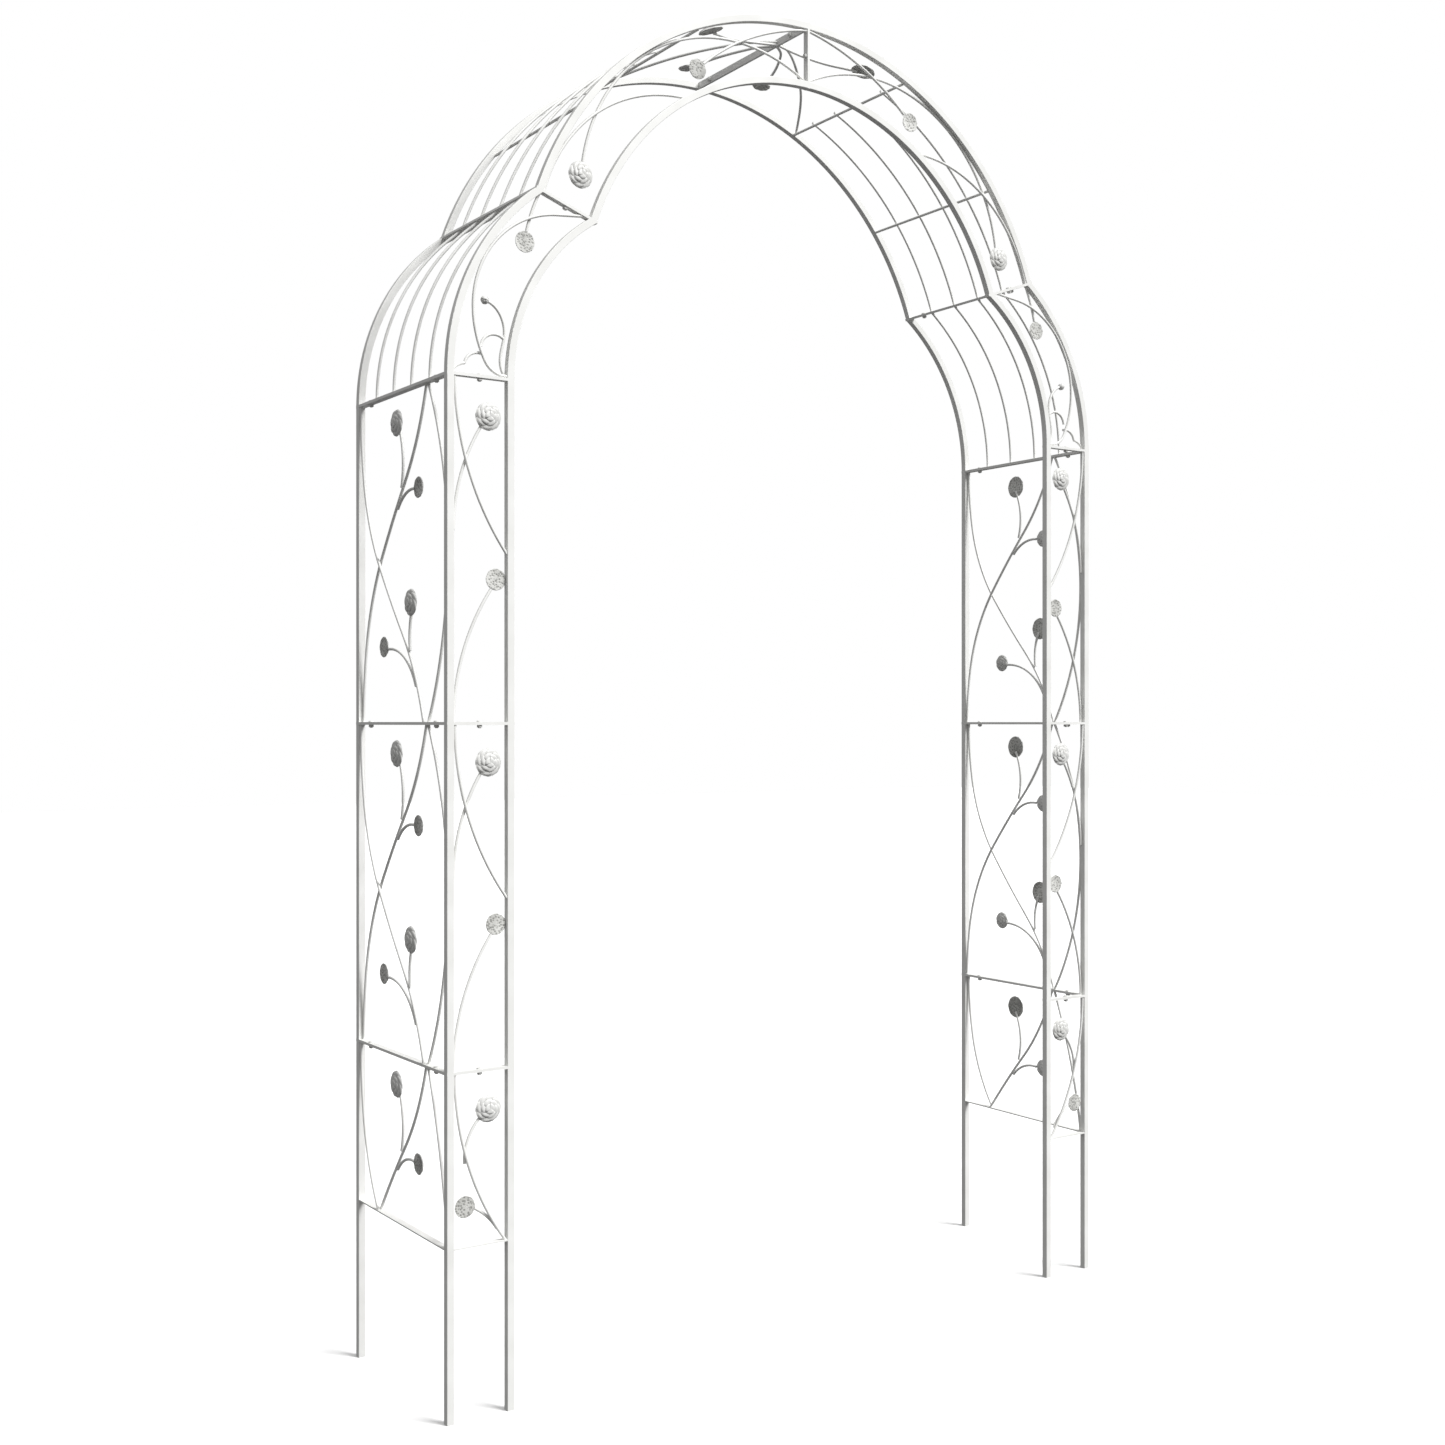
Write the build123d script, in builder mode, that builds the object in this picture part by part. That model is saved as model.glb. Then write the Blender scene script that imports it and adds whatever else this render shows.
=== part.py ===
"""Metal garden arch with a trellis of bent rods and pressed roses.

Ten welded steel sections, five on each side, are bolted together.  Each section is L-shaped in
plan: a rear tube and an outer front tube with a wide trellis panel between them, and an inner
front tube with a narrow trellis panel beside it.  Flat bars close the ends of every section, and
three bolts clamp each pair of neighbouring bars.

Millimetres, +Z up, +X across the walkway, +Y towards the back.  The origin is on the ground, in
the middle of the overall footprint.  The left side (negative X) is drawn, and the right side is
its mirror image.
"""
from build123d import *
from math import cos, radians, sin
import os

# ---- driving dimensions -------------------------------------------------------------------
outer_span = 1428.5  # between the centres of the outer tubes, across the walkway
panel_depth = 362.0  # between the rear tube and the outer front tube, centre to centre
panel_width = 107.6  # between the outer and the inner front tube, centre to centre
tube = 12.5  # square tube
tube_corner = 0.9
tube_wall = 1.0
bar = 2.4  # thickness of the flat bars
rod = 5.0  # diameter of the bent rods
module = 280.0  # height of the ground spikes, and half the height of a full panel
crown_radius = 585.0  # centre line of the outer crown hoop
crown_height = 1808.0  # height of the crown's centre
kink_angle = 19.2  # slope of the joint between shoulder and crown, above the horizontal
cross_rod_angles = (23.8, 51.2)  # crown cross rods, from the vertical
kink_bar = 15.2  # the bars at the kink cover the slanting ends of the shoulder tubes

large_rose = 46.0
small_rose = 36.0
rose_height = 10.0
bud = 14.0

bolt = 5.0
bolt_hole = 5.5
bolt_head = (9.5, 2.3)
nut_size = (8.0, 4.0)
bolt_inset = 47.0  # from a tube's centre to the bolts of the wide panel

# ---- derived places -----------------------------------------------------------------------
half = tube / 2
layer = rod / 2  # rods that cross lie in two layers, one rod apart
outer_x = -outer_span / 2
inner_x = outer_x + panel_width
rose_proud = rose_height - half
front_y = -(panel_depth - rose_proud) / 2
rear_y = front_y + panel_depth

joint_low, joint_mid, springing = 2 * module, 4 * module, 6 * module
tie_height = module
inner_crown_radius = crown_radius - panel_width

radial = (-cos(radians(kink_angle)), sin(radians(kink_angle)))
along = (sin(radians(kink_angle)), cos(radians(kink_angle)))


def crown_point(radius, angle):
    """Point of the left crown, at an angle from the vertical."""
    return (-radius * sin(radians(angle)), crown_height + radius * cos(radians(angle)))


def kink_point(radius, rise=0.0):
    """Point on the kink joint, or a distance above it along the crown."""
    x = radius * radial[0] + rise * along[0]
    z = crown_height + radius * radial[1] + rise * along[1]
    return (x, z)


def shoulder_circle(foot_x, radius_at_kink):
    """Centre and radius of the arc that leaves a post upright and ends at the kink."""
    end_x, end_z = kink_point(radius_at_kink)
    run = end_x - foot_x
    rise = end_z - springing
    radius = (run**2 + rise**2) / (2 * run)
    return (foot_x + radius, springing), radius


outer_centre, outer_radius = shoulder_circle(outer_x, crown_radius)
inner_centre, inner_radius = shoulder_circle(inner_x, inner_crown_radius)

front = Plane(origin=(0, front_y, 0), x_dir=(1, 0, 0), z_dir=(0, -1, 0))
rear = Plane(origin=(0, rear_y, 0), x_dir=(1, 0, 0), z_dir=(0, -1, 0))
side = Plane(origin=(outer_x, front_y, 0), x_dir=(0, 1, 0), z_dir=(1, 0, 0))
front_near = front.offset(layer)
front_far = front.offset(-layer)
side_outside = side.offset(-layer)
side_inside = side.offset(layer)
up = Vector(0, 0, 1)
down = Vector(0, 0, -1)

# Windows between the flat bars, drawn on the front plane.
reach = 900.0
shoulder_window = (
    (-reach, springing + bar),
    (-reach / 4, springing + bar),
    kink_point(reach / 4, -bar),
    kink_point(reach, -bar),
)
crown_window = (
    (-bar, crown_height + reach / 4),
    (-bar, crown_height + reach),
    (-reach, crown_height + reach),
    kink_point(reach, bar),
    kink_point(reach / 4, bar),
)


# ---- tubes --------------------------------------------------------------------------------
def post(x, y, low, high):
    """Straight square tube, open at both ends."""
    with BuildPart() as tube_part:
        with BuildSketch(Plane.XY.offset(low)):
            with Locations((x, y)):
                RectangleRounded(tube, tube, tube_corner)
                Rectangle(tube - 2 * tube_wall, tube - 2 * tube_wall, mode=Mode.SUBTRACT)
        extrude(amount=high - low)
    return tube_part.part


def hoop(plane, centre, radius, window):
    """Curved square tube, cut to the window between two joints."""
    with BuildPart() as tube_part:
        with BuildSketch(plane):
            with Locations(centre):
                Circle(radius + half)
                Circle(radius - half, mode=Mode.SUBTRACT)
            Polygon(*window, align=None, mode=Mode.INTERSECT)
        extrude(amount=half, both=True)
        long_edges = tube_part.edges().filter_by(GeomType.CIRCLE)
        fillet(long_edges, tube_corner)
        with BuildSketch(plane):
            with Locations(centre):
                Circle(radius + half - tube_wall)
                Circle(radius - half + tube_wall, mode=Mode.SUBTRACT)
            Polygon(*window, align=None, mode=Mode.INTERSECT)
        extrude(amount=half - tube_wall, both=True, mode=Mode.SUBTRACT)
    return tube_part.part


def section_tubes(section):
    """The outer, inner and rear tube of one section on the left side."""
    corners = {"outer": (outer_x, front_y), "inner": (inner_x, front_y), "rear": (outer_x, rear_y)}
    ends = {
        "base": (0, joint_low - bar),
        "middle": (joint_low + bar, joint_mid - bar),
        "upper": (joint_mid + bar, springing - bar),
    }
    if section in ends:
        return {name: post(*corners[name], *ends[section]) for name in corners}
    if section == "shoulder":
        window = shoulder_window
        circles = {"outer": (outer_centre, outer_radius), "inner": (inner_centre, inner_radius)}
    else:
        window = crown_window
        centre = (0, crown_height)
        circles = {"outer": (centre, crown_radius), "inner": (centre, inner_crown_radius)}
    return {
        "outer": hoop(front, *circles["outer"], window),
        "inner": hoop(front, *circles["inner"], window),
        "rear": hoop(rear, *circles["outer"], window),
    }


# ---- flat bars ----------------------------------------------------------------------------
def joint_plane(joint):
    """Plane of a joint: local X runs outwards, local Y to the front, local Z up the arch."""
    if joint == "kink":
        origin = (0, front_y, crown_height)
        return Plane(origin=origin, x_dir=(radial[0], 0, radial[1]), z_dir=(along[0], 0, along[1]))
    if joint == "apex":
        return Plane(origin=(0, front_y, crown_height), x_dir=(0, 0, 1), z_dir=(1, 0, 0))
    heights = {"low": joint_low, "mid": joint_mid, "springing": springing}
    return Plane(origin=(0, front_y, heights[joint]), x_dir=(-1, 0, 0), z_dir=(0, 0, 1))


def joint_reach(joint):
    """Local X of the outer and the inner tube in a joint, and the width of its bars."""
    if joint == "kink":
        return crown_radius, inner_crown_radius, kink_bar
    if joint == "apex":
        return crown_radius, inner_crown_radius, tube
    return -outer_x, -inner_x, tube


def bolt_places(joint):
    """Centres of the three bolts of a joint, in its own plane."""
    outer, inner, _ = joint_reach(joint)
    return (
        (outer, -bolt_inset),
        (outer, bolt_inset - panel_depth),
        ((outer + inner) / 2, 0),
    )


def joint_bars(joint, above):
    """Narrow front bar and wide side bar on one face of a joint, with their bolt holes."""
    outer, inner, width = joint_reach(joint)
    plane = joint_plane(joint).offset(0 if above else -bar)
    narrow = ((outer + inner) / 2, 0, outer - inner + width, tube)
    wide = (outer, -panel_depth / 2 - half, width, panel_depth)
    bars = []
    for x, y, size_x, size_y in (narrow, wide):
        with BuildPart() as flat:
            with BuildSketch(plane):
                with Locations((x, y)):
                    Rectangle(size_x, size_y)
                with Locations(*bolt_places(joint)):
                    Circle(bolt_hole / 2, mode=Mode.SUBTRACT)
            extrude(amount=bar)
        bars.append(flat.part)
    return bars


def low_ties():
    """The two thin bars that tie the legs together above the ground."""
    clear_depth = panel_depth - tube
    clear_width = panel_width - tube
    shapes = (
        (outer_x + panel_width / 2, front_y, clear_width, tube),
        (outer_x, front_y + panel_depth / 2, tube, clear_depth),
    )
    ties = []
    for x, y, size_x, size_y in shapes:
        with BuildPart() as tie:
            with BuildSketch(Plane.XY.offset(tie_height - bar)):
                with Locations((x, y)):
                    Rectangle(size_x, size_y)
            extrude(amount=bar)
        ties.append(tie.part)
    return ties


def section_bars(section):
    """Every flat bar of one section on the left side."""
    if section == "base":
        return low_ties() + joint_bars("low", above=False)
    lower, upper = {
        "middle": ("low", "mid"),
        "upper": ("mid", "springing"),
        "shoulder": ("springing", "kink"),
        "crown": ("kink", "apex"),
    }[section]
    # The crown reaches the apex from the negative side, as every section reaches its upper joint.
    return joint_bars(lower, above=True) + joint_bars(upper, above=False)


# ---- roses and buds -----------------------------------------------------------------------
def rose(plane, place, diameter, back=0.0, facing=1):
    """Pressed rose: three scalloped tiers on a flat back.

    The back lies at a distance from the plane, and the rose faces along its normal or against it.
    """
    height = rose_height * diameter / large_rose
    tiers = ((1.0, 0.0, 0.45, 9), (0.72, 0.45, 0.75, 7), (0.42, 0.75, 1.0, 5))
    with BuildPart() as flower:
        for size, low, high, petals in tiers:
            outline = diameter / 2 * size
            petal = outline * 0.36
            with BuildSketch(plane.offset(back + facing * low * height)):
                with Locations(place):
                    Circle(outline - petal * 0.7)
                    with PolarLocations(outline - petal, petals):
                        Circle(petal)
            extrude(amount=facing * (high - low) * height)
    return flower.part


def rim_point(place, approach, diameter):
    """Where a stem that comes from the approach side stops, at the rim of a rose."""
    away = Vector(*approach) - Vector(*place)
    stop = Vector(*place) + away.normalized() * (diameter / 2 + 0.1)
    return (stop.X, stop.Y)


def bud_ball(plane, place):
    """Round bud at the end of a stem."""
    with BuildPart() as ball:
        with Locations(plane.from_local_coords((*place, 0))):
            Sphere(bud / 2)
    return ball.part


# ---- bent rods ----------------------------------------------------------------------------
def bent_rod(plane, *lines, window=None, clear_of=None):
    """Round rod swept along drawn lines, then cut to a window and clear of a neighbour."""
    with BuildPart() as bent:
        for draw in lines:
            with BuildLine(plane) as path:
                draw()
            with BuildSketch(Plane(origin=path.line @ 0, z_dir=path.line % 0)):
                Circle(rod / 2)
            sweep(path=path.line)
        if window is not None:
            add(window, mode=Mode.INTERSECT)
        if clear_of is not None:
            add(clear_of, mode=Mode.SUBTRACT)
    return bent.part


def tower_windows(low, high):
    """Clear openings of the narrow front panel and the wide side panel of a tower section."""
    narrow = (outer_x + panel_width / 2, front_y, panel_width - tube, tube)
    wide = (outer_x, front_y + panel_depth / 2, tube, panel_depth - tube)
    windows = []
    for x, y, size_x, size_y in (narrow, wide):
        with BuildPart() as window:
            with BuildSketch(Plane.XY.offset(low)):
                with Locations((x, y)):
                    Rectangle(size_x, size_y)
            extrude(amount=high - low)
        windows.append(window.part)
    return windows


def arch_windows(section):
    """Clear openings of the front panel and of the roof, in the shoulder or the crown."""
    shoulder = section == "shoulder"
    outline = shoulder_window if shoulder else crown_window
    crown_centre = (0, crown_height)
    outer_circle = (outer_centre, outer_radius) if shoulder else (crown_centre, crown_radius)
    inner_circle = (inner_centre, inner_radius) if shoulder else (crown_centre, inner_crown_radius)
    with BuildPart() as narrow:
        with BuildSketch(front):
            with Locations(outer_circle[0]):
                Circle(outer_circle[1] - half)
            with Locations(inner_circle[0]):
                Circle(inner_circle[1] + half, mode=Mode.SUBTRACT)
            Polygon(*outline, align=None, mode=Mode.INTERSECT)
        extrude(amount=half, both=True)
    with BuildPart() as roof:
        with BuildSketch(front.offset(-half)):
            Polygon(*outline, align=None)
        extrude(amount=tube - panel_depth)
    return narrow.part, roof.part


# Wide side panel.  Local X is the distance behind the outer front tube, and heights count from
# the bottom of a full panel, which is two modules high.
vee = 87.0  # where the rods meet in pairs on the flat bars
against = half + rod / 2 + 0.2  # centre line of a rod that runs down beside a tube


def long_rod(foot, turned):
    """From beside the rear tube, up and across the panel to the vee (or the same upside down)."""
    bends = ((panel_depth - against, 0), (342, 124), (269, 292), (176, 407), (vee + 3, 560))
    sign = -1 if turned else 1
    start = foot + (2 * module if turned else 0)
    places = [(y, start + sign * z) for y, z in bends]
    direction = up * sign
    for place, following in zip(places, places[1:]):
        direction = TangentArc(place, following, tangent=direction) % 1


def side_panel(foot, full):
    """Rods and roses of a wide side panel: all of it, or its upper half only."""
    low = foot + (bar if full else module)
    window = tower_windows(low, foot + 2 * module - bar)[1]
    top, bottom = (vee - 3, foot + 2 * module), (vee - 3, foot)
    if not full:
        bottom = (against, foot + module)
    belly = (against, foot + module) if full else (36.5, foot + 1.5 * module)

    # The first long rod and the stems of the upper pair lie in the inner layer.  The low stem
    # leaves alongside the rod.
    small_place = (119, foot + 391)
    large = [rose(side, (203, foot + 509), large_rose, facing=-1)]
    small = [rose(side, small_place, small_rose)]
    high_stem = ((190.5, foot + 398), (184.5, foot + 449), (199, foot + 499))
    low_end = rim_point(small_place, (145, foot + 391), small_rose)
    low_stem = ((205.7, foot + 363.5), low_end)
    beside_first = Vector(0, -0.637, 0.771)
    rods = [
        bent_rod(side_inside, lambda: long_rod(foot, False), window=window),
        bent_rod(side_outside, lambda: long_rod(foot, True), window=window),
        bent_rod(side_inside, lambda: ThreePointArc(top, belly, bottom), window=window),
        bent_rod(side_inside, lambda: ThreePointArc(*high_stem)),
        bent_rod(side_inside, lambda: TangentArc(*low_stem, tangent=beside_first)),
    ]
    if not full:
        return rods, large, small

    # The second long rod and the stems of the lower pair lie in the outer layer, the right stem
    # alongside the rod.
    small_place = (249, foot + 131)
    large.append(rose(side, (134, foot + 201), large_rose, back=-rod, facing=-1))
    small.append(rose(side, small_place, small_rose, back=-rod))
    left_stem = ((144.5, foot + 121.5), (145.5, foot + 157), (136, foot + 192))
    right_end = rim_point(small_place, (224, foot + 125), small_rose)
    right_stem = ((120.7, foot + 61.6), right_end)
    beside_second = Vector(0, 0.45, 0.893)
    rods.append(bent_rod(side_outside, lambda: ThreePointArc(*left_stem)))
    rods.append(
        bent_rod(side_outside, lambda: TangentArc(*right_stem, tangent=beside_second))
    )
    return rods, large, small


# Narrow front panel.  Places are given as a distance in from the outer tube, and a height.
def front_panel(foot, full):
    """Rods and roses of a narrow front panel: all of it, or its upper half only."""
    low = foot + (bar if full else module)
    window = tower_windows(low, foot + 2 * module - bar)[0]

    def place(inward, height):
        return (outer_x + inward, foot + height)

    small_place = place(83, 234) if full else place(28, module + 63)
    large = [rose(front, place(69, 497), large_rose)]
    small = [rose(front, small_place, small_rose, facing=-1)]
    beside_post = (place(against, 2 * module), place(panel_width - half, 276))
    rods = [bent_rod(front_near, lambda: TangentArc(*beside_post, tangent=down), window=window)]
    if full:
        high_stem = (place(against, 310), place(64, 491))
        low_stem = (place(against, bar), rim_point(small_place, place(69, 205), small_rose))
        rods.append(bent_rod(front_far, lambda: TangentArc(*high_stem, tangent=up)))
        rods.append(bent_rod(front_far, lambda: TangentArc(*low_stem, tangent=up)))
    else:
        high_stem = (place(28, 412), place(35, 452), place(64, 491))
        low_end = rim_point(small_place, place(50, 337), small_rose)
        low_stem = (place(86, 299), place(64, 325), low_end)
        rods.append(bent_rod(front_far, lambda: ThreePointArc(*high_stem)))
        rods.append(bent_rod(front_far, lambda: ThreePointArc(*low_stem)))
    return rods, large, small


def tower_trellis(section):
    """Rods and roses of a tower section on the left side."""
    full = section != "base"
    foot = {"base": 0, "middle": joint_low, "upper": joint_mid}[section]
    panels = (side_panel(foot, full), front_panel(foot, full))
    return [panels[0][kind] + panels[1][kind] for kind in range(3)]


# Shoulder.  The scroll is most of a round between the two front hoops.
def scroll_rod():
    """From the inner kink, over beside the outer hoop, and back to the foot of the inner hoop."""
    shoulder_top = (-520, springing + 284)
    widest = (-673, springing + 115)
    low_bend = (-652, springing + 26.5)
    foot = (-612, springing + 5.6)
    run_in = Line((-455, springing + 291), shoulder_top)
    upper = TangentArc(shoulder_top, widest, tangent=run_in % 1)
    lower = TangentArc(widest, low_bend, tangent=upper % 1)
    TangentArc(low_bend, foot, tangent=lower % 1)


def bud_stem():
    """Waving stem of the bud."""
    Spline((-607, 1678), (-621, 1722), (-614.5, 1757), (-625, 1790), (-650, 1806))


def shoulder_trellis():
    """Front scroll work, roof rods, rose and bud of the left shoulder."""
    front_window, roof_window = arch_windows("shoulder")
    small_place = (-578, 1911)
    small = rose(front, small_place, small_rose, facing=-1)
    ball = bud_ball(front_far, (-650, 1806))
    stem = bent_rod(front_far, bud_stem, window=front_window, clear_of=ball)
    loop = ((-657, 1730), (-641, 1751), (-616.5, 1747))
    first_wave = ((-709, 1686), (-698, 1696), (-686, 1700))
    second_wave = ((-686, 1700), (-676, 1715), (-655, 1718))
    rose_end = rim_point(small_place, (-573, 1935), small_rose)
    rose_stem = ((-550, 1997), (-564, 1964), rose_end)
    scrolls = [
        bent_rod(front_near, scroll_rod, window=front_window),
        stem,
        bent_rod(front_far, lambda: ThreePointArc(*loop), clear_of=stem),
        bent_rod(
            front_far,
            lambda: ThreePointArc(*first_wave),
            lambda: ThreePointArc(*second_wave),
            window=front_window,
        ),
        bent_rod(front_far, lambda: ThreePointArc(*rose_stem), window=front_window),
    ]
    roof = []
    for share in range(1, 5):
        plane = front.offset(-panel_depth * share / 5)
        arc = (outer_centre, outer_radius, 182, -58)
        roof.append(bent_rod(plane, lambda: CenterArc(*arc), window=roof_window))
    return scrolls + roof, [small], [ball]


# Crown.
def climbing_rod():
    """From the inner corner of the apex, out to the outer hoop and down to a rose."""
    middle = (-363, 2255)
    rise = ThreePointArc((0, 2292), (-150, 2333), middle)
    TangentArc(middle, (-470, 2050), tangent=rise % 1)


def crown_front():
    """Rods and roses of the left crown's front panel."""
    window = arch_windows("crown")[0]
    large = rose(front, (-474, 2039), large_rose)
    small_place = (-242, 2264)
    small = rose(front, small_place, small_rose, back=rod, facing=-1)
    to_inner_hoop = (
        crown_point(crown_radius - against, 72),
        (-447, 2146),
        crown_point(inner_crown_radius, 33),
    )
    stem_end = rim_point(small_place, (-228, 2277), small_rose)
    drooping_stem = ((0, 2385), (-126, 2345), stem_end)
    rods = [
        bent_rod(front_far, climbing_rod, window=window),
        bent_rod(front_near, lambda: ThreePointArc(*to_inner_hoop), window=window),
        bent_rod(front_near, lambda: ThreePointArc(*drooping_stem), window=window),
    ]
    return rods, large, small


def roof_place(distance, back, radius):
    """Point on the left crown's roof, by its distance down from the apex and from the front."""
    angle = distance / crown_radius
    return (-radius * sin(angle), front_y + back, crown_height + radius * cos(angle))


def roof_plane(distance, back, radius):
    """Plane that touches the roof at a point, facing outwards."""
    angle = distance / crown_radius
    origin = roof_place(distance, back, radius)
    return Plane(origin=origin, x_dir=(0, 1, 0), z_dir=(-sin(angle), 0, cos(angle)))


def crown_roof():
    """Long rods, cross rods, stems and roses of the left crown's roof."""
    window = arch_windows("crown")[1]
    under = crown_radius - rod - 0.1  # the second layer, beneath the long rods
    rods = []
    for share in range(1, 5):
        plane = front.offset(-panel_depth * share / 5)
        arc = ((0, crown_height), crown_radius, 90 + 72, cross_rod_angles[0] - 72.4)
        rods.append(bent_rod(plane, lambda: CenterArc(*arc), window=window))
    for angle in cross_rod_angles:
        with BuildPart() as cross_rod:
            with BuildSketch(front.offset(-half)):
                with Locations(crown_point(under, angle)):
                    Circle(rod / 2)
            extrude(amount=tube - panel_depth)
        rods.append(cross_rod.part)

    large = rose(roof_plane(178, 54, under), (0, 0), large_rose, back=layer)
    small_place = (88, 266)
    small = rose(roof_plane(*small_place, under), (0, 0), small_rose, back=layer, facing=-1)
    diagonal = ((-6, 84), (39, 110), (94, 159), (151, 219), (211, 301), (250, 362))
    large_stem = ((-6, 86), (30, 96), (60, 99), (97, 95), (125, 85), (150, 70), (168, 60))
    small_stem = ((-6, 91), (13, 104), (25, 115), (41, 140), (58, 173), (70, 202))
    small_end = rim_point(small_place, (81, 240), small_rose)
    for route, radius in (
        (diagonal, crown_radius),
        (large_stem, under),
        ((*small_stem, small_end), under),
    ):
        points = [roof_place(distance, back, radius) for distance, back in route]
        rods.append(bent_rod(Plane.XY, lambda: Spline(*points), window=window))
    return rods, large, small


# ---- bolts and nuts -----------------------------------------------------------------------
def joint_bolts(joint):
    """Three round-headed bolts of a joint on the left side."""
    plane = joint_plane(joint)
    width, height = bolt_head
    bolts = []
    for place in bolt_places(joint):
        with BuildPart() as fastener:
            with BuildSketch(plane.offset(bar)):
                with Locations(place):
                    Circle(width / 2)
            extrude(amount=height)
            crown_edge = fastener.edges().filter_by(GeomType.CIRCLE)
            fillet(crown_edge.sort_by(Axis(plane.origin, plane.z_dir))[-1], height * 0.7)
            with BuildSketch(plane.offset(bar)):
                with Locations(place):
                    Circle(bolt / 2)
            extrude(amount=-(2 * bar + nut_size[1] + 1.2))
        bolts.append(fastener.part)
    return bolts


def joint_nuts(joint):
    """Three hexagon nuts of a joint on the left side."""
    across, height = nut_size
    nuts = []
    for place in bolt_places(joint):
        with BuildPart() as nut:
            with BuildSketch(joint_plane(joint).offset(-bar - height)):
                with Locations(place):
                    RegularPolygon(across / 2, 6, major_radius=False)
                    Circle(bolt / 2 + 0.1, mode=Mode.SUBTRACT)
            extrude(amount=height)
        nuts.append(nut.part)
    return nuts


# ---- the arch, by nodes -------------------------------------------------------------------
def left_side():
    """Every node of the left side, as a list of solids under its plain name."""
    nodes = {}
    for section in ("base", "middle", "upper", "shoulder", "crown"):
        kind = {"base": "leg", "shoulder": "hoop", "crown": "hoop"}.get(section, "post")
        for place, solid in section_tubes(section).items():
            nodes[f"{section}_{place}_{kind}"] = [solid]
        nodes[f"{section}_flat_bars"] = section_bars(section)

    large, small = [], []
    for section in ("base", "middle", "upper"):
        rods, large_roses, small_roses = tower_trellis(section)
        nodes[f"{section}_trellis_rods"] = rods
        large += large_roses
        small += small_roses
    rods, small_roses, balls = shoulder_trellis()
    nodes["shoulder_trellis_rods"] = rods
    nodes["shoulder_bud"] = balls
    small += small_roses
    for panel, name in ((crown_front, "crown_front_rods"), (crown_roof, "crown_roof_rods")):
        rods, large_rose_part, small_rose_part = panel()
        nodes[name] = rods
        large.append(large_rose_part)
        small.append(small_rose_part)
    nodes["large_roses"] = large
    nodes["small_roses"] = small
    return nodes


def solids_of(parts):
    """The separate solids of a list of parts."""
    return [solid for part in parts for solid in part.solids()]


def write_node(name, solids):
    """Save one node as its own STEP file."""
    node = Compound(children=solids) if len(solids) > 1 else solids[0]
    node.label = name
    export_step(node, f"parts/{name}.step")


os.makedirs("parts", exist_ok=True)

for name, parts in left_side().items():
    solids = solids_of(parts)
    write_node(f"left_{name}", solids)
    write_node(f"right_{name}", [solid.mirror(Plane.YZ) for solid in solids])

for name, make in (("joint_bolts", joint_bolts), ("joint_nuts", joint_nuts)):
    paired = solids_of([part for joint in ("low", "mid", "springing", "kink") for part in make(joint)])
    mirrored = [solid.mirror(Plane.YZ) for solid in paired]
    write_node(name, paired + mirrored + solids_of(make("apex")))
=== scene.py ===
"""White powder coated garden arch: finish, pressed roses, buds, fasteners, studio and camera.

Metres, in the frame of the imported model: +Z up, +X across the walkway, -Y to the front.
"""
from math import asin, cos, pi, radians, sin, sqrt

import bmesh
import bpy
import numpy as np
from mathutils import Matrix, Vector


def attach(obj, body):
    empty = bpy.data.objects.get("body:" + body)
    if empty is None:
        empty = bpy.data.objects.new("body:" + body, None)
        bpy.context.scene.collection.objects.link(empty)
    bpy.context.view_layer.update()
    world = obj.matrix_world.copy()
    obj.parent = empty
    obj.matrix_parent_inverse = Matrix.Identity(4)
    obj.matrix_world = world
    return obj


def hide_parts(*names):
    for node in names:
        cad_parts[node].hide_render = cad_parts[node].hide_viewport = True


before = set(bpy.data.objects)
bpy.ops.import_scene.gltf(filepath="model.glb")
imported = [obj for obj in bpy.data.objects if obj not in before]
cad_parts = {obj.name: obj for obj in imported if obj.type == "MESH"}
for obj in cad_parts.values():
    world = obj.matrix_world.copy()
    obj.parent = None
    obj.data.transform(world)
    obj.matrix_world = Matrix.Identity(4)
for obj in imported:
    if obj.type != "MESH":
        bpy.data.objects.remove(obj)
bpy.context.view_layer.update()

MM = 0.001
FILM_DRIFT = 60.0  # millimetres over which the coat gathers and thins


# ---- materials ----------------------------------------------------------------------------
def linear(colour):
    """Linear RGBA from an sRGB hex string."""
    channels = [int(colour[i:i + 2], 16) / 255 for i in (0, 2, 4)]
    curved = [c / 12.92 if c <= 0.04045 else ((c + 0.055) / 1.055) ** 2.4 for c in channels]
    return (*curved, 1.0)


def add(tree, kind, settings=(), **links):
    """One node with its settings, and its inputs linked or set by name."""
    node = tree.nodes.new(kind)
    for name, value in dict(settings).items():
        setattr(node, name, value)
    for name, value in links.items():
        socket = node.inputs[name.replace("_", " ")]
        if isinstance(value, bpy.types.NodeSocket):
            tree.links.new(value, socket)
        else:
            socket.default_value = value
    return node


def new_material(name):
    """An empty node material and its tree."""
    material = bpy.data.materials.new(name)
    material.use_nodes = True
    material.node_tree.nodes.clear()
    return material, material.node_tree


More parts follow.
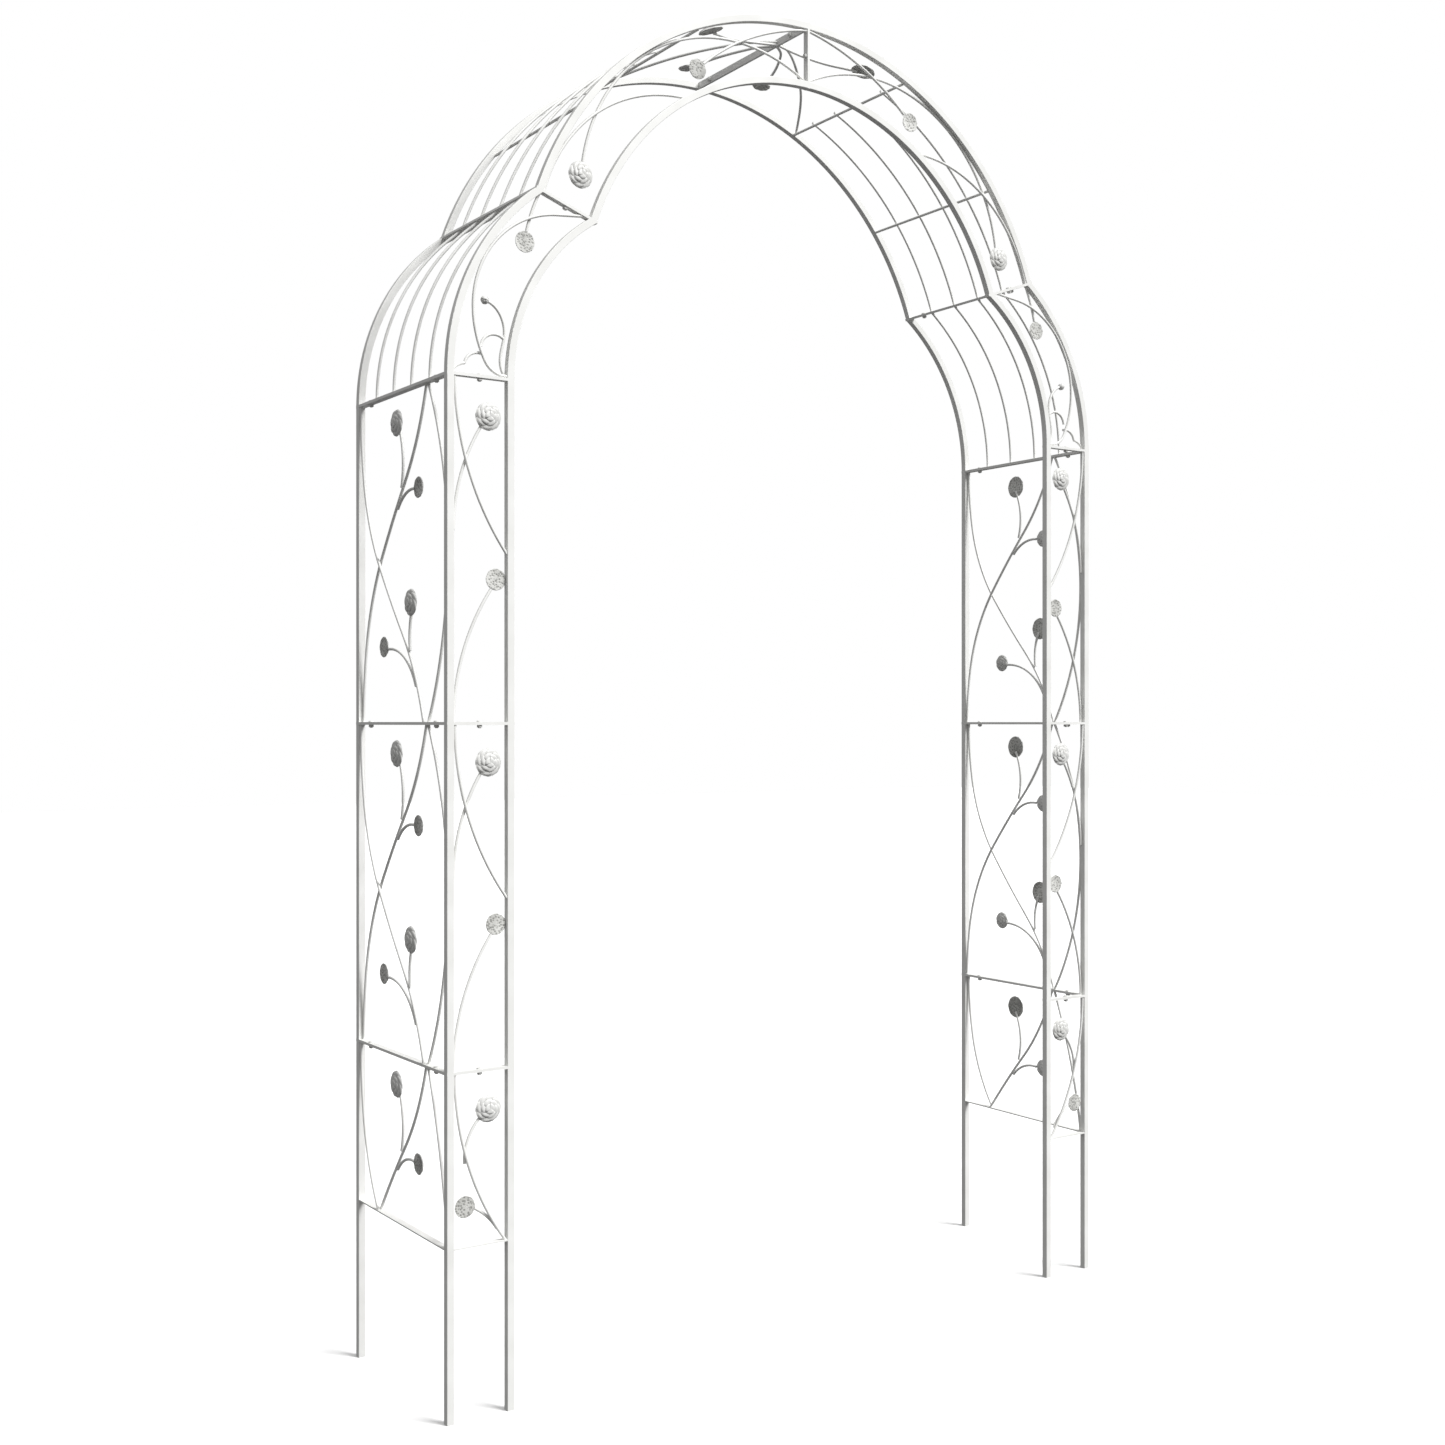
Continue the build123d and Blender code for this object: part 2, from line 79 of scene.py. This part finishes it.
def powder_coat(name, coat, thin, peel=5.0, gloss=0.42, stipple=0.0, crease=0.0):
    """Polyester powder coat baked on steel.

    The melted powder sets in a soft orange peel of about 2 mm, drawn here at `peel` millimetres so
    that it shows, and gathers a little thicker and brighter in places.  `stipple` adds pits, this
    far apart, of a rough pressed face, each painted darker towards its hollow as painted shade.
    `crease` adds painted shade: dark lines, from an ambient occlusion node, in folds whose sides
    are this near to each other.
    """
    material, tree = new_material(name)
    blend = {"data_type": "RGBA"}
    multiply = {"data_type": "RGBA", "blend_type": "MULTIPLY"}
    place = add(tree, "ShaderNodeTexCoord").outputs["Object"]

    drift = add(tree, "ShaderNodeTexNoise", Vector=place, Scale=1 / (FILM_DRIFT * MM), Detail=2.0)
    gather = add(
        tree, "ShaderNodeMapRange", Value=drift.outputs["Fac"], From_Min=0.3, From_Max=0.7
    )
    film = add(tree, "ShaderNodeMix", blend, Factor=gather.outputs["Result"], A=thin, B=coat)
    colour = film.outputs["Result"]

    orange_peel = add(tree, "ShaderNodeTexNoise", Vector=place, Scale=1 / (peel * MM), Detail=1.0)
    height = orange_peel.outputs["Fac"]
    bump_strength, bump_depth = 0.03, 0.3
    if stipple:
        pits = add(tree, "ShaderNodeTexVoronoi", Vector=place, Scale=1 / (stipple * MM))
        from_pit = pits.outputs["Distance"]
        rise = add(tree, "ShaderNodeMapRange", Value=from_pit, From_Min=0.05, From_Max=0.6)
        height = rise.outputs["Result"]
        bump_strength, bump_depth = 0.8, 0.9
        # Painted shade in the pits: the colour darkens towards the hollow of each pit.
        edge = add(tree, "ShaderNodeMapRange", Value=from_pit, From_Min=0.1, From_Max=0.6)
        shade = add(tree, "ShaderNodeMix", blend, Factor=edge.outputs["Result"], A=thin, B=coat)
        pitted = add(
            tree, "ShaderNodeMix", multiply, Factor=1.0, A=colour, B=shade.outputs["Result"]
        )
        colour = pitted.outputs["Result"]
    if crease:
        # Painted shade in the folds: ambient occlusion darkens the colour where the surfaces close
        # in.
        folds = add(tree, "ShaderNodeAmbientOcclusion", {"samples": 8}, Distance=crease * MM)
        clear = add(
            tree, "ShaderNodeMapRange", Value=folds.outputs["AO"], From_Min=0.3, From_Max=0.9
        )
        painted_fold_shade = add(
            tree,
            "ShaderNodeMix",
            blend,
            Factor=clear.outputs["Result"],
            A=linear("3E3E3C"),
            B=linear("FFFFFF"),
        )
        fold_shaded = add(
            tree, "ShaderNodeMix", multiply, Factor=1.0, A=colour, B=painted_fold_shade.outputs["Result"]
        )
        colour = fold_shaded.outputs["Result"]

    bump = add(
        tree, "ShaderNodeBump", Strength=bump_strength, Distance=bump_depth * MM, Height=height
    )
    satin = add(
        tree,
        "ShaderNodeMapRange",
        Value=orange_peel.outputs["Fac"],
        To_Min=gloss - 0.05,
        To_Max=gloss + 0.07,
    )
    shader = add(
        tree,
        "ShaderNodeBsdfPrincipled",
        Base_Color=colour,
        Roughness=satin.outputs["Result"],
        IOR=1.5,
        Normal=bump.outputs["Normal"],
    )
    add(tree, "ShaderNodeOutputMaterial", Surface=shader.outputs["BSDF"])
    return material


white = linear("F3F3F1")
thin_white = linear("E9E9E6")
# Square tube and flat bar: smooth rolled steel under the coat, satin with a faint orange peel.
coated_tube = powder_coat("powder_coated_tube", white, thin_white)
# Bent rod: the coat runs a little thicker and glossier on the small round section.
coated_rod = powder_coat("powder_coated_rod", white, thin_white, peel=4.0, gloss=0.38)
# Pressed roses: painted a shade greyer than the tubes as painted shade, to hold back their brightly
# lit faces; smooth on the petals, with painted shade in the folds.
coated_petal_painted_shade = powder_coat(
    "powder_coated_petal", linear("E2E2E0"), linear("D4D4D1"), peel=3.0, gloss=0.4, crease=4.0
)
# Backs of the roses: rough from the press, so the coat is pitted and mottled, with painted shade
# that greys each pit towards its hollow.
coated_back = powder_coat(
    "powder_coated_rose_back", linear("FAFAF8"), linear("A4A4A1"), gloss=0.55, stipple=4.0
)
# Bolts and nuts: paint over zinc plate, a shade duller than the tubes.
painted_zinc = powder_coat(
    "painted_zinc_fastener", linear("E6E6E3"), linear("D2D2CF"), peel=2.0, gloss=0.36
)


def finish_for(node):
    """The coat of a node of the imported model."""
    if "bolts" in node or "nuts" in node:
        return painted_zinc
    if "rods" in node:
        return coated_rod
    return coated_tube


for node_name, node_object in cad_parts.items():
    for material_slot in node_object.material_slots:
        material_slot.material = finish_for(node_name)


# ---- pieces -------------------------------------------------------------------------------
SAME_CORNER = 0.01 * MM
NEAR_FACE = 0.2 * MM
ON_BACK = 0.1 * MM


def separate_solids(node):
    """The solids of a node, each as an array of its corners."""
    mesh = bmesh.new()
    mesh.from_mesh(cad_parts[node].data)
    bmesh.ops.remove_doubles(mesh, verts=mesh.verts, dist=SAME_CORNER)
    waiting = set(mesh.verts)
    solids = []
    while waiting:
        found = [waiting.pop()]
        for corner in found:
            for edge in corner.link_edges:
                other = edge.other_vert(corner)
                if other in waiting:
                    waiting.remove(other)
                    found.append(other)
        solids.append(np.array([corner.co[:] for corner in found]))
    mesh.free()
    return sorted(solids, key=lambda corners: tuple(corners.mean(0).round(4)))


def rose_seat(corners):
    """Where a rose sits: its matrix, with Z out of the flower and X upright, radius and height."""
    centre = corners.mean(0)
    spread = np.linalg.svd(corners - centre, full_matrices=False)[2]
    facing = spread[2]
    along = (corners - centre) @ facing
    away = np.linalg.norm((corners - centre) - np.outer(along, facing), axis=1)
    wide_at_top = away[along > along.max() - NEAR_FACE].max()
    wide_at_bottom = away[along < along.min() + NEAR_FACE].max()
    if wide_at_top > wide_at_bottom:
        facing = -facing
        along = -along
    back = corners[along < along.min() + ON_BACK].mean(0)
    facing = Vector(facing)
    upright = Vector((0, 0, 1)) if abs(facing.z) < 0.7 else Vector((0, 1, 0))
    across = (upright - upright.dot(facing) * facing).normalized()
    sideways = facing.cross(across)
    seat = Matrix((across, sideways, facing)).transposed().to_4x4()
    seat.translation = Vector(back)
    return seat, away.max(), along.max() - along.min()


def join_piece(name, mesh, materials):
    """A finished piece from a bmesh."""
    bmesh.ops.recalc_face_normals(mesh, faces=mesh.faces)
    data = bpy.data.meshes.new(name)
    mesh.to_mesh(data)
    mesh.free()
    for material in materials:
        data.materials.append(material)
    piece = bpy.data.objects.new(name, data)
    bpy.context.scene.collection.objects.link(piece)
    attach(piece, "root")
    return piece


def add_faces(mesh, faces, smooth=True, finish=0):
    """Faces between corners that are already in the mesh."""
    for corners in faces:
        face = mesh.faces.new(corners)
        face.smooth = smooth
        face.material_index = finish


def add_petal(mesh, seat, turn, root, tip, width, low, high, lean):
    """One thick petal, rounded at its tip, with one side lifted over its neighbour."""
    steps_across, steps_along = 12, 10
    opening = radians(62)
    swirl = radians(-24)
    top, under = [], []
    for j in range(steps_along + 1):
        v = j / steps_along
        top_row, under_row = [], []
        for i in range(steps_across + 1):
            u = 2 * i / steps_across - 1
            reach = (tip - root) * v
            x = root + reach * cos(u * opening)
            y = reach * sin(u * opening) * width
            # Full over most of its length, it rolls down at the tip and along both sides.
            roll = sqrt(max(0.0, 1 - v ** 6)) * (1 - 0.30 * u ** 4)
            lift = (1 + lean * u * v ** 0.7) / (1 + lean)
            z = low + (high - low) * roll * lift
            spin = turn + swirl * max(0.0, x / tip) ** 1.4
            place = (x * cos(spin) - y * sin(spin), x * sin(spin) + y * cos(spin))
            top_row.append(mesh.verts.new(seat @ Vector((*place, z))))
            under_row.append(mesh.verts.new(seat @ Vector((*place, low))))
        top.append(top_row)
        under.append(under_row)
    faces = []
    for j in range(steps_along):
        for i in range(steps_across):
            faces.append((top[j][i], top[j][i + 1], top[j + 1][i + 1], top[j + 1][i]))
            faces.append((under[j][i], under[j + 1][i], under[j + 1][i + 1], under[j][i + 1]))
    rim = [(j, 0) for j in range(steps_along)]
    rim += [(steps_along, i) for i in range(steps_across)]
    rim += [(j, steps_across) for j in range(steps_along, 0, -1)]
    rim += [(0, i) for i in range(steps_across, 0, -1)]
    for (a, b), (c, d) in zip(rim, rim[1:] + rim[:1]):
        faces.append((top[a][b], top[c][d], under[c][d], under[a][b]))
    add_faces(mesh, faces)


def add_back_plate(mesh, seat, radius, thickness, scallops):
    """Flat back of a rose, with a scalloped rim."""
    steps = scallops * 8
    rims = []
    for size, z in ((0.97, 0.0), (1.0, 0.3 * thickness), (0.94, thickness)):
        rim = []
        for k in range(steps):
            angle = 2 * pi * k / steps
            reach = radius * size * (0.93 + 0.07 * abs(cos(scallops * angle / 2)) ** 0.6)
            rim.append(mesh.verts.new(seat @ Vector((reach * cos(angle), reach * sin(angle), z))))
        rims.append(rim)
    for low, high in zip(rims, rims[1:]):
        add_faces(mesh, [(low[k - 1], low[k], high[k], high[k - 1]) for k in range(steps)])
    add_faces(mesh, [rims[0]], smooth=False, finish=1)
    add_faces(mesh, [rims[-1]], smooth=False)


def add_rose(mesh, seat, radius, height):
    """Rows of petals that lean over each other round a small curled heart."""
    rows = (
        # petals, root, tip, width, low, high, lean, first
        (8, 0.30, 1.00, 0.84, 0.08, 0.58, 0.42, 0.0),
        (6, 0.10, 0.72, 0.82, 0.30, 0.86, 0.42, 0.4),
        (3, -0.06, 0.38, 1.00, 0.60, 1.00, 0.45, 0.9),
    )
    for count, root, tip, width, low, high, lean, first in rows:
        for k in range(count):
            turn = first + 2 * pi * k / count
            reach = (root * radius, tip * radius)
            depth = (low * height, high * height)
            add_petal(mesh, seat, turn, *reach, width, *depth, lean)
    add_back_plate(mesh, seat, radius, 0.16 * height, 8)


for side in ("left", "right"):
    for size in ("large", "small"):
        node = f"{side}_{size}_roses"
        flowers = bmesh.new()
        for corners in separate_solids(node):
            add_rose(flowers, *rose_seat(corners))
        petals = join_piece(
            f"{node}_petals", flowers, [coated_petal_painted_shade, coated_back]
        )
        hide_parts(node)


def add_bud(mesh, seat, radius):
    """Closed bud of three wrapped petals in a cup of five sepals, with Z out of its stem."""
    around, along = 60, 24
    layers = (
        # petals or sepals, pointed, width, depth of the folds, twist, first and last height
        (3, False, 0.90, 0.20, 2.4, -0.80, 1.00),
        (5, True, 0.98, 0.10, 0.0, -1.00, 0.05),
    )
    for count, pointed, width, fold_depth, twist, low, high in layers:
        rings = []
        for j in range(along + 1):
            ring = []
            for k in range(around):
                angle = 2 * pi * k / around
                length = 0.45 + 0.55 * abs(cos(count * angle / 2)) if pointed else 1.0
                height = low + (high - low) * (j / along) * length
                fold = (count * angle + twist * height) % (2 * pi) / (2 * pi)
                round_size = sqrt(max(0.0, 1 - height * height)) ** 0.9
                reach = radius * width * round_size * (1 - fold_depth * fold ** 3)
                place = (reach * cos(angle), reach * sin(angle), radius * height)
                ring.append(mesh.verts.new(seat @ Vector(place)))
            rings.append(ring)
        for below, above in zip(rings, rings[1:]):
            add_faces(
                mesh,
                [(below[k - 1], below[k], above[k], above[k - 1]) for k in range(around)],
            )
        add_faces(mesh, [rings[0], rings[-1]])


for side, outwards in (("left", -1), ("right", 1)):
    node = f"{side}_shoulder_bud"
    ball = separate_solids(node)[0]
    middle = (ball.min(0) + ball.max(0)) / 2
    out_of_stem = Vector((0.84 * outwards, 0.0, 0.54))
    seat = out_of_stem.to_track_quat("Z", "Y").to_matrix().to_4x4()
    seat.translation = Vector(middle)
    closed_bud = bmesh.new()
    add_bud(closed_bud, seat, (ball.max(0) - ball.min(0)).min() / 2)
    wrapped = join_piece(f"{node}_petals", closed_bud, [coated_petal_painted_shade])
    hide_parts(node)


# ---- studio -------------------------------------------------------------------------------
FLOOR_SIZE = 40.0
KEY_POWER = 3.9
KEY_SOFTNESS = radians(30)
TOWARDS_KEY = Vector((0.38, -0.62, 0.69))
EYE = (-1.9156, -2.7277, 1.1216)
HEADING = asin(0.5615)  # to the right of straight ahead
FOCAL_LENGTH, SENSOR_WIDTH = 43.40, 36.0  # millimetres


def add_studio():
    """White floor, a soft light from the upper right of the front, and a dim surround."""
    scene = bpy.context.scene
    scene.view_settings.view_transform = "Standard"

    material, tree = new_material("studio_floor")
    shader = add(tree, "ShaderNodeBsdfDiffuse", Color=linear("FFFFFF"))
    add(tree, "ShaderNodeOutputMaterial", Surface=shader.outputs["BSDF"])
    bpy.ops.mesh.primitive_plane_add(size=FLOOR_SIZE)
    floor = bpy.context.object
    floor.name = "studio_floor"
    floor.data.materials.append(material)
    floor.visible_diffuse = False
    floor.visible_glossy = False

    world = bpy.data.worlds.new("studio")
    scene.world = world
    world.use_nodes = True
    tree = world.node_tree
    tree.nodes.clear()
    direction = add(tree, "ShaderNodeTexCoord").outputs["Generated"]
    height = add(tree, "ShaderNodeSeparateXYZ", Vector=direction).outputs["Z"]
    above = add(tree, "ShaderNodeMapRange", Value=height, From_Min=0.0, From_Max=0.6)
    surround = add(
        tree,
        "ShaderNodeMix",
        {"data_type": "RGBA"},
        Factor=above.outputs["Result"],
        A=linear("6E6E6E"),
        B=linear("C8C8C8"),
    )
    dim = add(tree, "ShaderNodeBackground", Color=surround.outputs["Result"])
    bright = add(tree, "ShaderNodeBackground", Color=linear("FFFFFF"))
    seen = add(tree, "ShaderNodeLightPath").outputs["Is Camera Ray"]
    both = add(tree, "ShaderNodeMixShader", Fac=seen)
    tree.links.new(dim.outputs[0], both.inputs[1])
    tree.links.new(bright.outputs[0], both.inputs[2])
    add(tree, "ShaderNodeOutputWorld", Surface=both.outputs[0])

    key = bpy.data.lights.new("key", "SUN")
    key.energy = KEY_POWER
    key.angle = KEY_SOFTNESS
    lamp = bpy.data.objects.new("key", key)
    lamp.rotation_euler = TOWARDS_KEY.to_track_quat("Z", "Y").to_euler()
    scene.collection.objects.link(lamp)


def add_camera():
    """Eye height, at the front left corner, level, looking past the left tower at the right."""
    lens = bpy.data.cameras.new("camera")
    lens.sensor_width = SENSOR_WIDTH
    lens.lens = FOCAL_LENGTH
    lens.clip_end = 100.0
    camera = bpy.data.objects.new("camera", lens)
    camera.location = EYE
    camera.rotation_euler = (radians(90), 0, -HEADING)
    bpy.context.scene.collection.objects.link(camera)
    bpy.context.scene.camera = camera


add_studio()
add_camera()
